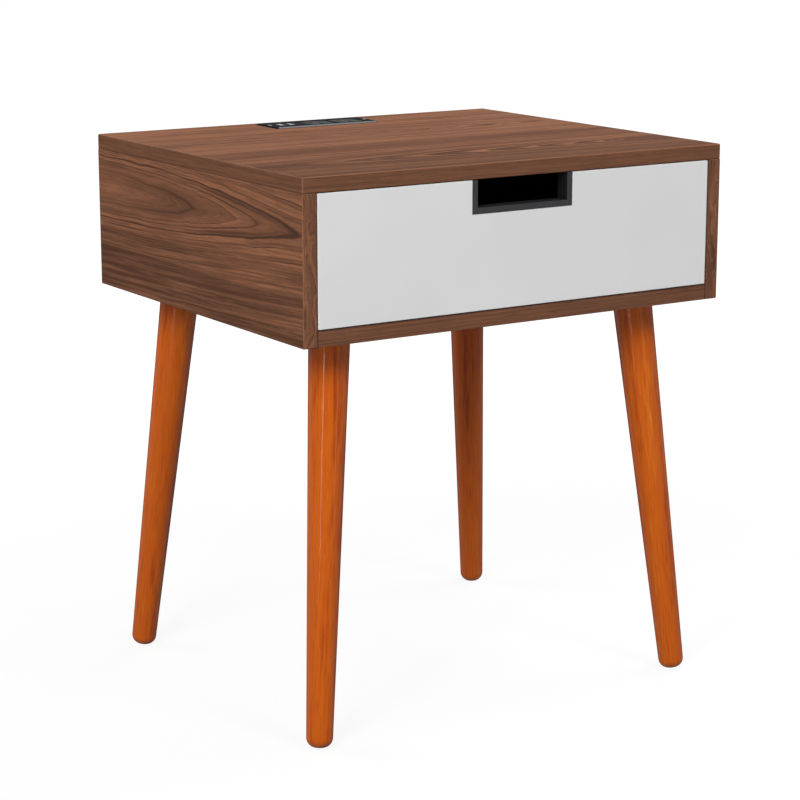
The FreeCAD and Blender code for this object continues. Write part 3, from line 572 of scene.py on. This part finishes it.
def leg_wood():
    """Stained hardwood under satin lacquer, with its grain along the leg. Its gloss fades where it is
    met edge-on."""
    colours = bpy.context.scene.bedside_colours
    f = Finish("leg_wood")
    parts = f.split(f.stored("grain"))

    def grain(width, length, detail):
        return f.noise(f.scaled(parts, 1 / width, 1 / width, 1 / length), detail, 0.55)

    broad = grain(0.013, 0.4, 2.0)
    mottle = grain(0.0022, 0.034, 3.0)
    share = f.math("MULTIPLY_ADD", f.math("SUBTRACT", mottle, 0.5), 0.7, broad)
    colour = f.ramp(
        share,
        [
            (0.26, colours.leg_dark),
            (0.45, colours.leg_mid),
            (0.58, colours.leg_mid),
            (0.78, colours.leg_light),
        ],
    )
    fibre = grain(0.0010, 0.026, 2.0)
    colour = f.blend(f.remap(fibre, 0.48, 0.74, 0.0, 0.5), colour, colours.leg_dark)
    gloss = f.remap(f.edge_on(), 0.35, 0.75, 0.13, 0.0)
    satin = f.remap(fibre, 0.3, 0.7, 0.12, 0.16)
    f.set(Base_Color=colour, Roughness=satin, Specular_IOR_Level=gloss)
    f.bump(fibre, 0.00005, 0.35)
    return f.material


# Plastics and the like: roughness, pitch of the grain, gloss, and how uneven the colour is
PLASTICS = {
    "pull_plastic": (0.55, 0.0006, 0.25, 0.12),
    "runner_coating": (0.42, 0.0012, 0.5, 0.12),
    "roller_nylon": (0.38, 0.0008, 0.5, 0.04),
    "panel_plastic": (0.95, 0.0007, 0.05, 0.12),
    "outlet_plastic": (0.80, 0.0007, 0.12, 0.12),
    "housing_plastic": (0.55, 0.0009, 0.5, 0.12),
    "port_plastic": (0.4, 0.0009, 0.5, 0.03),
    "gland_rubber": (0.7, 0.0008, 0.3, 0.12),
    "beech": (0.6, 0.0011, 0.3, 0.2),
}

# Metals: roughness and pitch of the brushed grain
METALS = {
    "bright_steel": (0.24, 0.0004),
    "contact_brass": (0.3, 0.0005),
    "zinc_steel": (0.34, 0.0007),
}

# The charging panel's front edge: roughness and gloss
PANEL_EDGE = (0.10, 0.18)


def plastic(name, colour, edge_gloss=None, shaded_inside=False):
    """Moulded plastic with a fine grain and slightly uneven gloss. Its front edges may have a roughness
    and a gloss of their own, and the walls that run back from its front may get painted shade and be matt."""
    roughness, grain_pitch, specular, variation = PLASTICS[name]
    f = Finish(name)
    grain = f.noise(f.spot(1 / grain_pitch), 2.0, 0.6)
    cloud = f.noise(f.spot(40.0), 3.0)
    paler = tuple(min(1.0, c * (1 + variation) + 0.002) for c in colour)
    shown = f.blend(f.remap(cloud, 0.3, 0.7), colour, paler)
    matt = f.remap(grain, 0.3, 0.7, roughness - 0.05, roughness + 0.07)
    normal = f.normal()
    facing = f.facing(normal)
    if edge_gloss:
        edge = f.math("MULTIPLY", f.eased(facing), f.remap(f.split(normal)[1], -0.3, -0.6))
        matt = f.choose(edge, matt, edge_gloss[0])
        specular = f.choose(edge, specular, edge_gloss[1])
    # painted shade in the recess: the walls that run back from the front are darkened, and made matt
    if shaded_inside:
        shaded_wall = f.remap(facing[1], 0.75, 0.45)
        shown = f.blend(shaded_wall, shown, tuple(c * 0.08 for c in colour))
        matt = f.choose(shaded_wall, matt, 0.9)
    f.set(Base_Color=shown, Roughness=matt, Specular_IOR_Level=specular)
    f.bump(grain, 0.00003, 0.5)
    return f.material


def metal(name, colour):
    """Plated or bare metal with a faint brushed grain and dull patches."""
    roughness, brush_pitch = METALS[name]
    f = Finish(name)
    scale = 1 / brush_pitch
    brush = f.noise(f.scaled(f.place(), scale, scale / 12, scale), 2.0)
    cloud = f.noise(f.spot(60.0), 3.0)
    duller = tuple(c * 0.78 for c in colour)
    f.set(
        Base_Color=f.blend(f.remap(cloud, 0.35, 0.7), colour, duller),
        Metallic=1.0,
        Roughness=f.remap(brush, 0.3, 0.7, roughness - 0.06, roughness + 0.1),
    )
    f.bump(brush, 0.00002, 0.4)
    return f.material


def white_lacquer():
    """Sprayed satin lacquer: near flat, with a faint orange-peel skin, and painted shade where it looks down.
    """
    colours = bpy.context.scene.bedside_colours
    f = Finish("white_lacquer")
    skin = f.noise(f.spot(420.0), 2.0, 0.5)
    cloud = f.noise(f.spot(9.0), 2.0)
    greyer = tuple(c * 0.97 for c in colours.lacquer)
    # painted shade: the faces that look down are darkened
    shaded_lacquer = tuple(c * 0.4 for c in colours.lacquer)
    painted_shade_under = f.remap(f.split(f.normal())[2], -0.30, -0.80)
    coat = f.blend(f.remap(cloud, 0.3, 0.7), colours.lacquer, greyer)
    f.set(
        Base_Color=f.blend(painted_shade_under, coat, shaded_lacquer),
        Roughness=f.remap(skin, 0.3, 0.7, 0.40, 0.48),
        Specular_IOR_Level=0.4,
    )
    f.bump(skin, 0.00002, 0.35)
    return f.material


def circuit_board():
    """Solder mask over faint tracks."""
    colours = bpy.context.scene.bedside_colours
    f = Finish("circuit_board")
    cells = f.node("ShaderNodeTexVoronoi", {"Vector": f.spot(350.0), "Scale": 1.0}, distance="MANHATTAN")
    track = f.remap(cells.outputs["Distance"], 0.3, 0.36)
    paler = tuple(c * 1.5 for c in colours.board_green)
    f.set(Base_Color=f.blend(track, paler, colours.board_green), Roughness=f.choose(track, 0.3, 0.38))
    f.bump(track, 0.00003, 0.5)
    return f.material


def mesh_piece(name, shape, finish, body, slot, *stands_for):
    """An object of the table from a finished bmesh."""
    mesh = bpy.data.meshes.new(name)
    shape.to_mesh(mesh)
    shape.free()
    mesh.polygons.foreach_set("use_smooth", [True] * len(mesh.polygons))
    mesh.set_sharp_from_angle(angle=SHARP_ANGLE)
    mesh.materials.append(finish)
    piece = bpy.data.objects.new(name, mesh)
    bpy.context.scene.collection.objects.link(piece)
    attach(piece, body)
    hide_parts(*stands_for)


def spun(points, steps, closed):
    """A turned shape from an outline of (radius, height) about the Z axis."""
    shape = bmesh.new()
    corners = [shape.verts.new((radius, 0.0, height)) for radius, height in points]
    pairs = list(zip(corners, corners[1:]))
    if closed:
        pairs.append((corners[-1], corners[0]))
    edges = [shape.edges.new(pair) for pair in pairs]
    bmesh.ops.spin(
        shape,
        geom=corners + edges,
        cent=(0, 0, 0),
        axis=(0, 0, 1),
        angle=math.tau,
        steps=steps,
        use_merge=True,
    )
    bmesh.ops.remove_doubles(shape, verts=shape.verts, dist=MERGE_GAP)
    bmesh.ops.recalc_face_normals(shape, faces=shape.faces)
    return shape


def arc(centre, radius, start, end, steps):
    """Points of (radius, height) along an arc, with angles in radians from the outward direction."""
    points = []
    for step in range(steps + 1):
        angle = start + (end - start) * step / steps
        points.append((centre[0] + radius * math.cos(angle), centre[1] + radius * math.sin(angle)))
    return points


def leg_outline(sizes, floor_reach, seat, tip):
    """Half outline of a leg, from its seat down to its rounded foot, hanging from the origin."""
    taper = (sizes.leg_top_radius - sizes.leg_foot_radius) / floor_reach
    slant = math.sqrt(1 + taper**2)
    lean_in = math.atan(taper)

    def radius_at(depth):
        return sizes.leg_top_radius - taper * depth

    foot_depth = tip - sizes.foot_round
    foot_centre = (radius_at(foot_depth) - sizes.foot_round * slant, -foot_depth)
    rim_depth = seat + sizes.rim_round
    rim_centre = (radius_at(rim_depth) - sizes.rim_round * slant, -rim_depth)
    rim = arc(rim_centre, sizes.rim_round, math.pi / 2, -lean_in, RIM_STEPS)
    foot = arc(foot_centre, sizes.foot_round, -lean_in, -math.pi / 2, sizes.arc_steps)
    return [(0.0, -seat)] + rim + foot + [(0.0, -tip)]


class BEDSIDE_OT_turn_legs(bpy.types.Operator):
    """Turns the four tapered legs and stains them"""

    bl_idname = "bedside.turn_legs"
    bl_label = "Turn legs"

    def execute(self, context):
        sizes = context.scene.bedside_sizes
        stain = leg_wood()
        slope = math.tan(sizes.leg_lean)
        for number, place in enumerate(LEG_PLACES):
            low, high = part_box("leg_plate_" + place)
            top = Vector(((low.x + high.x) / 2, (low.y + high.y) / 2, high.z))
            along = Vector((math.copysign(slope, top.x), math.copysign(slope, top.y), -1.0))
            upright = 1 / along.length
            tilt = math.sqrt(1 - upright**2)
            seat = (sizes.leg_plate_steel + sizes.leg_rim_gap + sizes.leg_top_radius * tilt) / upright
            tip_flat = sizes.leg_foot_radius - sizes.foot_round
            tip_height = sizes.foot_round * (1 - upright) + tip_flat * tilt - sizes.foot_flat
            tip = (top.z - tip_height) / upright
            shape = spun(leg_outline(sizes, top.z / upright, seat, tip), sizes.leg_sides, closed=False)

            grain = shape.verts.layers.float_vector.new("grain")
            for vertex in shape.verts:
                vertex[grain] = vertex.co + GRAIN_STEP * number
            turn = Vector((0, 0, -1)).rotation_difference(along).to_matrix().to_4x4()
            bmesh.ops.transform(shape, matrix=Matrix.Translation(top) @ turn, verts=shape.verts)
            cut = bmesh.ops.bisect_plane(
                shape,
                geom=shape.verts[:] + shape.edges[:] + shape.faces[:],
                plane_co=(0, 0, 0),
                plane_no=(0, 0, -1),
                clear_outer=True,
            )
            rim = [e for e in cut["geom_cut"] if isinstance(e, bmesh.types.BMEdge)]
            bmesh.ops.edgeloop_fill(shape, edges=rim)
            bmesh.ops.recalc_face_normals(shape, faces=shape.faces)
            mesh_piece("turned_leg_" + place, shape, stain, "case", "leg_wood", "leg_" + place)
        return {"FINISHED"}


class BEDSIDE_OT_dress_boards(bpy.types.Operator):
    """Gives the case boards their walnut print"""

    bl_idname = "bedside.dress_boards"
    bl_label = "Dress case boards"

    def execute(self, context):
        top = walnut("walnut_top", LENGTHWISE, TOP_LOOPS, "z", TOP_BANDS_AND_SHADE, calm_edges=True)
        dress(top, "top_panel")
        left = walnut(
            "walnut_left_side",
            SIDE_GRAIN,
            LEFT_LOOPS,
            bands=LEFT_BANDS,
            tones=LEFT_TONES,
            joints=(("z", -1.0), ("x", 1.0)),
            swirled=True,
        )
        dress(left, "left_side_panel")
        joints = (("z", -1.0), ("x", -1.0))
        right = walnut("walnut_right_side", SIDE_GRAIN, RIGHT_LOOPS, joints=joints, swirled=True)
        dress(right, "right_side_panel")
        joints = (("x", -1.0), ("x", 1.0), ("z", 1.0))
        bottom = walnut("walnut_bottom", LENGTHWISE, loop_face="z", joints=joints, calm_edges=True)
        dress(bottom, "bottom_panel")
        dress(walnut("walnut_back", LENGTHWISE, BACK_LOOPS, "y"), "back_panel")
        return {"FINISHED"}


class BEDSIDE_OT_dress_drawer(bpy.types.Operator):
    """Finishes the drawer: lacquered front, finger pull and box boards"""

    bl_idname = "bedside.dress_drawer"
    bl_label = "Dress drawer"

    def execute(self, context):
        colours = context.scene.bedside_colours
        dress(white_lacquer(), "drawer_front")
        dress(plastic("pull_plastic", colours.pull, shaded_inside=True), "pull_liner")
        dress(walnut("drawer_sides", SIDE_GRAIN), "drawer_left_side", "drawer_right_side")
        dress(walnut("drawer_boards", LENGTHWISE), "drawer_back", "drawer_bottom")
        return {"FINISHED"}


class BEDSIDE_OT_fit_runners(bpy.types.Operator):
    """Coats the runners and moulds their four rollers"""

    bl_idname = "bedside.fit_runners"
    bl_label = "Fit runners"

    def execute(self, context):
        sizes = context.scene.bedside_sizes
        colours = context.scene.bedside_colours
        coating = plastic("runner_coating", colours.coating)
        dress(coating, "left_channel", "right_channel", "left_rail", "right_rail")
        nylon = plastic("roller_nylon", colours.nylon)
        for place in ROLLER_PLACES:
            low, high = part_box(place)
            half = (high.x - low.x) / 2
            radius = (high.z - low.z) / 2
            rim = half - sizes.roller_round
            dish = half - sizes.roller_dish
            tread = radius - sizes.roller_round
            lip = tread - 2 * sizes.roller_round
            upper = [(sizes.roller_bore, half), (sizes.roller_hub, half), (sizes.roller_hub, dish), (lip, dish)]
            upper += [(lip, half)] + arc((tread, rim), sizes.roller_round, math.pi / 2, 0.0, ROLLER_STEPS)
            lower = [(r, -h) for r, h in reversed(upper)]
            shape = spun(upper + lower, sizes.roller_sides, closed=True)
            pose = Matrix.Translation((low + high) / 2) @ Matrix.Rotation(math.pi / 2, 4, "Y")
            bmesh.ops.transform(shape, matrix=pose, verts=shape.verts)
            mesh_piece("moulded_" + place, shape, nylon, place, "roller_plastic", place)
        return {"FINISHED"}


class BEDSIDE_OT_dress_charging_panel(bpy.types.Operator):
    """Finishes the charging panel and what lies behind it"""

    bl_idname = "bedside.dress_charging_panel"
    bl_label = "Dress charging panel"

    def execute(self, context):
        colours = context.scene.bedside_colours
        dress(plastic("panel_plastic", colours.panel, edge_gloss=PANEL_EDGE), "panel_faceplate")
        dress(plastic("outlet_plastic", colours.outlet), "outlet_left", "outlet_right")
        dress(plastic("housing_plastic", colours.panel), "panel_housing", "charger_transformer")
        dress(plastic("port_plastic", colours.tongue), "usb_tongues")
        bright = metal("bright_steel", colours.steel)
        dress(bright, "panel_screws", "usb_port_left", "usb_port_right")
        brass = metal("contact_brass", colours.brass)
        dress(brass, "line_contacts", "neutral_contacts", "earth_contacts")
        dress(circuit_board(), "charger_board")
        dress(plastic("gland_rubber", colours.rubber), "cord_gland")
        return {"FINISHED"}


class BEDSIDE_OT_dress_fittings(bpy.types.Operator):
    """Finishes the leg plates, screws, cam locks, axles and dowels"""

    bl_idname = "bedside.dress_fittings"
    bl_label = "Dress fittings"

    def execute(self, context):
        colours = context.scene.bedside_colours
        zinc = metal("zinc_steel", colours.zinc)
        dress(zinc, *("leg_plate_" + place for place in LEG_PLACES))
        dress(zinc, "leg_bolts", "leg_plate_screws", "case_cam_locks", "case_cam_bolts", "channel_screws")
        dress(zinc, "front_roller_axles", "rear_roller_axles", "rail_screws")
        dress(zinc, "drawer_cam_locks", "drawer_cam_bolts", "drawer_back_screws")
        dress(plastic("beech", colours.beech), "case_dowels", "drawer_dowels")
        return {"FINISHED"}


def direction(azimuth, elevation):
    """From the table towards a place that is seen at these angles; azimuth 0 is in front."""
    flat = math.cos(elevation)
    return Vector((math.sin(azimuth) * flat, -math.cos(azimuth) * flat, math.sin(elevation)))


def softbox(name, azimuth, elevation, distance, width, height, brightness):
    """A soft lamp that faces the table. A brightness of 1 is white."""
    lamp = bpy.data.lights.new(name, "AREA")
    lamp.shape = "RECTANGLE"
    lamp.size = width
    lamp.size_y = height
    lamp.energy = brightness * math.pi * width * height
    holder = bpy.data.objects.new(name, lamp)
    bpy.context.scene.collection.objects.link(holder)
    out = direction(math.radians(azimuth), math.radians(elevation))
    holder.location = LAMP_TARGET + out * distance
    holder.rotation_euler = out.to_track_quat("Z", "Y").to_euler()
    holder.visible_camera = False


class BEDSIDE_OT_set_stage(bpy.types.Operator):
    """Sets the floor, the lamps, the white surroundings and the camera"""

    bl_idname = "bedside.set_stage"
    bl_label = "Set stage"

    def execute(self, context):
        stage = context.scene.bedside_stage
        self.lay_floor(stage)
        self.light_surroundings(stage)
        for name, values in LAMPS.items():
            softbox(name, *values)
        self.place_camera(stage)
        context.scene.view_settings.view_transform = "Standard"
        return {"FINISHED"}

    def lay_floor(self, stage):
        """A pale floor that shows white, but for the table's shadow."""
        shape = bmesh.new()
        bmesh.ops.create_grid(shape, x_segments=1, y_segments=1, size=stage.floor_size / 2)
        mesh = bpy.data.meshes.new("floor")
        shape.to_mesh(mesh)
        shape.free()
        floor = bpy.data.objects.new("floor", mesh)
        bpy.context.scene.collection.objects.link(floor)
        f = Finish("floor_white")
        f.set(Base_Color=(stage.floor_tone,) * 3, Roughness=1.0, Specular_IOR_Level=0.0)
        x, y, _ = f.place()
        away = f.math("SQRT", f.math("ADD", f.math("MULTIPLY", x, x), f.math("MULTIPLY", y, y)))
        glow = f.remap(away, GLOW_BEGIN, GLOW_END, stage.floor_lift, 1.0)
        f.set(Emission_Color=WHITE, Emission_Strength=f.math("MULTIPLY", f.seen(), glow))
        mesh.materials.append(f.material)

    def light_surroundings(self, stage):
        """Surroundings that show white and light the table evenly."""
        world = bpy.data.worlds.new("surroundings")
        bpy.context.scene.world = world
        world.use_nodes = True
        nodes = Nodes(world.node_tree)
        sockets = nodes.tree.nodes["Background"].inputs
        nodes.put(sockets["Color"], WHITE)
        nodes.put(sockets["Strength"], nodes.remap(nodes.seen(), 0.0, 1.0, stage.ambient, 1.0, smooth=False))

    def place_camera(self, stage):
        """The camera, at the picture's angle."""
        camera = bpy.data.cameras.new("camera")
        camera.lens = stage.view_lens
        camera.sensor_width = SENSOR_WIDTH
        camera.clip_end = SIGHT_LENGTH
        holder = bpy.data.objects.new("camera", camera)
        bpy.context.scene.collection.objects.link(holder)
        out = direction(stage.view_azimuth, stage.view_elevation)
        holder.location = Vector(stage.view_target) + out * stage.view_distance
        holder.rotation_euler = (-out).to_track_quat("-Z", "Y").to_euler()
        bpy.context.scene.camera = holder


OPERATORS = (
    BEDSIDE_OT_dress_boards,
    BEDSIDE_OT_turn_legs,
    BEDSIDE_OT_dress_drawer,
    BEDSIDE_OT_fit_runners,
    BEDSIDE_OT_dress_charging_panel,
    BEDSIDE_OT_dress_fittings,
    BEDSIDE_OT_set_stage,
)
SETTINGS = {"bedside_sizes": BedsideSizes, "bedside_colours": BedsideColours, "bedside_stage": BedsideStage}


class BEDSIDE_PT_looks(bpy.types.Panel):
    """Lists the table's settings and steps"""

    bl_idname = "BEDSIDE_PT_looks"
    bl_label = "Bedside Table"
    bl_space_type = "VIEW_3D"
    bl_region_type = "UI"
    bl_category = "Bedside Table"

    def draw(self, context):
        for setting, group in SETTINGS.items():
            box = self.layout.box()
            for key in group.__annotations__:
                box.prop(getattr(context.scene, setting), key)
        for operator in OPERATORS:
            self.layout.operator(operator.bl_idname)


CLASSES = (*SETTINGS.values(), *OPERATORS, BEDSIDE_PT_looks)


def register():
    """Adds the settings, the steps and the panel."""
    for item in CLASSES:
        bpy.utils.register_class(item)
    for setting, group in SETTINGS.items():
        setattr(bpy.types.Scene, setting, PointerProperty(type=group))


def unregister():
    """Takes the settings, the steps and the panel out again."""
    for setting in SETTINGS:
        delattr(bpy.types.Scene, setting)
    for item in reversed(CLASSES):
        bpy.utils.unregister_class(item)


def main():
    """Dresses the table and sets the stage."""
    register()
    bpy.ops.bedside.dress_boards()
    bpy.ops.bedside.turn_legs()
    bpy.ops.bedside.dress_drawer()
    bpy.ops.bedside.fit_runners()
    bpy.ops.bedside.dress_charging_panel()
    bpy.ops.bedside.dress_fittings()
    bpy.ops.bedside.set_stage()


if __name__ == "__main__":
    main()
